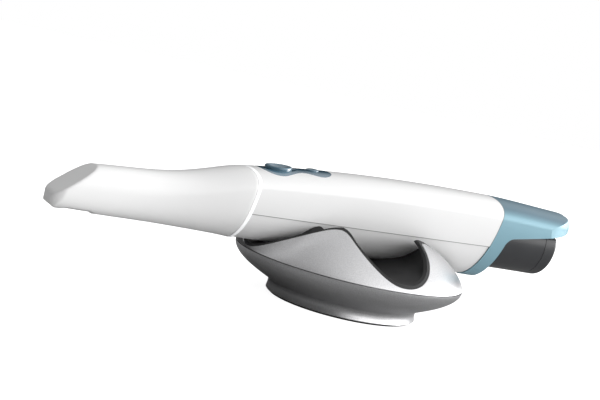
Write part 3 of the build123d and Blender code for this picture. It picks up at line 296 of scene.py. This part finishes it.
MATERIALS = {
    # The white shells get painted shadow lines along their joints.
    "white_shell": plastic("white_shell", (0.79, 0.79, 0.79), 0.34, 0.006, coat=0.25, coat_rough=0.18,
                           lines=[PARTING_LINE, SEAM_LINE]),
    "tip_white": plastic("tip_white", (0.82, 0.82, 0.82), 0.36, 0.006, coat=0.2, coat_rough=0.2, edge=0.0022),
    # The ring's glow is painted light: the ring is no lamp.
    "ring_white": plastic("ring_white", (0.93, 0.94, 0.95), 0.25, 0.004, coat=0.3, glow=0.35),
    "panel_blue": plastic("panel_blue", (0.075, 0.160, 0.225), 0.16, 0.05, coat=0.8, coat_rough=0.04),
    "key_blue": plastic("key_blue", (0.065, 0.135, 0.185), 0.20, 0.05, coat=0.6, coat_rough=0.06),
    # The hood gets a painted darker shade on faces that look up, for reflections of dark surroundings.
    "hood_blue": plastic("hood_blue", (0.23, 0.40, 0.475), 0.40, 0.02, coat=0.12, coat_rough=0.2,
                         metallic=0.15, painted_top_shade=(0.36, 0.40, 0.44)),
    "battery_grey": plastic("battery_grey", (0.040, 0.041, 0.044), 0.30, 0.08),
    "cap_grey": plastic("cap_grey", (0.042, 0.043, 0.046), 0.36, 0.08),
    "gold_contact": metal("gold_contact", (0.90, 0.66, 0.28), 0.22),
    "bay_black": plastic("bay_black", (0.02, 0.021, 0.023), 0.45, 0.1),
    "holder_silver": metal("holder_silver", (0.58, 0.58, 0.59), 0.34, 0.11, 2600.0, metallic=0.9),
    "liner_black": plastic("liner_black", (0.021, 0.021, 0.022), 0.60, 0.08, ior=1.38),
    "pad_black": plastic("pad_black", (0.015, 0.015, 0.015), 0.75, 0.15),
    "ballast_steel": metal("ballast_steel", (0.42, 0.42, 0.43), 0.45),
    "screw_steel": turned_metal("screw_steel", (0.55, 0.55, 0.56), 0.28, 3000.0, "Z"),
    "mirror_silver": metal("mirror_silver", (0.93, 0.94, 0.95), 0.03, 0.01, depth=0.000001),
    "glass_clear": clear_glass("glass_clear"),
    "snout_grey": turned_metal("snout_grey", (0.50, 0.51, 0.53), 0.32, 5000.0),
    "collar_grey": plastic("collar_grey", (0.16, 0.165, 0.17), 0.4, 0.05),
    "seal_black": plastic("seal_black", (0.018, 0.018, 0.02), 0.55, 0.1),
    "board_green": board_material("board_green"),
    "frame_metal": metal("frame_metal", (0.30, 0.31, 0.33), 0.42),
    "barrel_black": metal("barrel_black", (0.035, 0.035, 0.04), 0.4, metallic=0.7),
    "rod_steel": turned_metal("rod_steel", (0.75, 0.76, 0.78), 0.14, 6000.0),
    "magnet_nickel": metal("magnet_nickel", (0.62, 0.62, 0.63), 0.2),
    "coil_copper": turned_metal("coil_copper", (0.72, 0.30, 0.14), 0.3, 1500.0),
    "sink_alu": metal("sink_alu", (0.68, 0.69, 0.70), 0.35),
}


def dress_nodes():
    """Gives every CAD node the material that its slot in the record names."""
    slot_of = {row["node"]: row["material_slot"] for row in frame["record"]["subparts"]}
    for name, shown in frame["nodes"].items():
        shown.data.materials.clear()
        shown.data.materials.append(MATERIALS[slot_of[name]])


def make_floor():
    """Plain pale floor: it lights the part softly from below, and shows only a faint shadow."""
    bpy.ops.mesh.primitive_plane_add(size=FLOOR_SIZE, location=(0, 0, 0))
    floor = bpy.context.object
    floor.name = "floor"
    material, tree, shader = new_material("floor_white")
    plain = ramp(tree, noise(tree, coords(tree), 3.0), [(0.2, FLOOR_DARK), (0.8, FLOOR_LIGHT)])
    dimmed = node(tree, "ShaderNodeMix", data_type="RGBA")
    tree.links.new(node(tree, "ShaderNodeLightPath").outputs["Is Glossy Ray"], dimmed.inputs["Factor"])
    tree.links.new(plain, dimmed.inputs[6])
    dimmed.inputs[7].default_value = FLOOR_REFLECTED
    tree.links.new(dimmed.outputs[2], shader.inputs["Base Color"])
    shader.inputs["Roughness"].default_value = 0.9
    shader.inputs["Specular IOR Level"].default_value = 0.0
    dark, glow = node(tree, "ShaderNodeEmission"), node(tree, "ShaderNodeEmission")
    dark.inputs["Strength"].default_value = 0.0
    glow.inputs["Strength"].default_value = FLOOR_GLOW
    total = node(tree, "ShaderNodeAddShader")
    tree.links.new(shader.outputs[0], total.inputs[0])
    tree.links.new(camera_only(tree, dark, glow), total.inputs[1])
    tree.links.new(total.outputs[0], tree.nodes["Material Output"].inputs["Surface"])
    floor.data.materials.append(material)


def make_world():
    """White to the camera; for light and reflections a studio that is dim to the left and below."""
    world = bpy.data.worlds.new("studio")
    bpy.context.scene.world = world
    world.use_nodes = True
    tree = world.node_tree
    way = node(tree, "ShaderNodeTexCoord").outputs["Generated"]
    height = map_range(tree, height_of(tree, way), "From", -1, 1)
    side = map_range(tree, along_direction(tree, way, BRIGHT_SIDE), "From", -1, 1)
    walls = blended(tree, "MULTIPLY", ramp(tree, height, WALLS), ramp(tree, side, WALLS_BY_SIDE))
    ceiling = blended(tree, "MULTIPLY", ramp(tree, height, CEILING), ramp(tree, side, CEILING_BY_SIDE))
    studio = tree.nodes["Background"]
    tree.links.new(blended(tree, "ADD", walls, ceiling), studio.inputs["Color"])
    studio.inputs["Strength"].default_value = STUDIO_STRENGTH
    white = node(tree, "ShaderNodeBackground")
    white.inputs["Color"].default_value = (*WHITE, 1.0)
    tree.links.new(camera_only(tree, studio, white), tree.nodes["World Output"].inputs["Surface"])


def make_lamp():
    data = bpy.data.lights.new("right", "AREA")
    data.shape = "RECTANGLE"
    data.size = LAMP_WIDTH
    data.size_y = LAMP_HEIGHT
    data.energy = LAMP_POWER
    lamp = bpy.data.objects.new("right", data)
    lamp.location = LAMP_AT
    lamp.rotation_euler = (Vector(LAMP_TARGET) - Vector(LAMP_AT)).to_track_quat("-Z", "Y").to_euler()
    bpy.context.scene.collection.objects.link(lamp)


make_camera()
make_world()
dress_nodes()
make_floor()
make_lamp()

bpy.context.scene.view_settings.view_transform = "Standard"
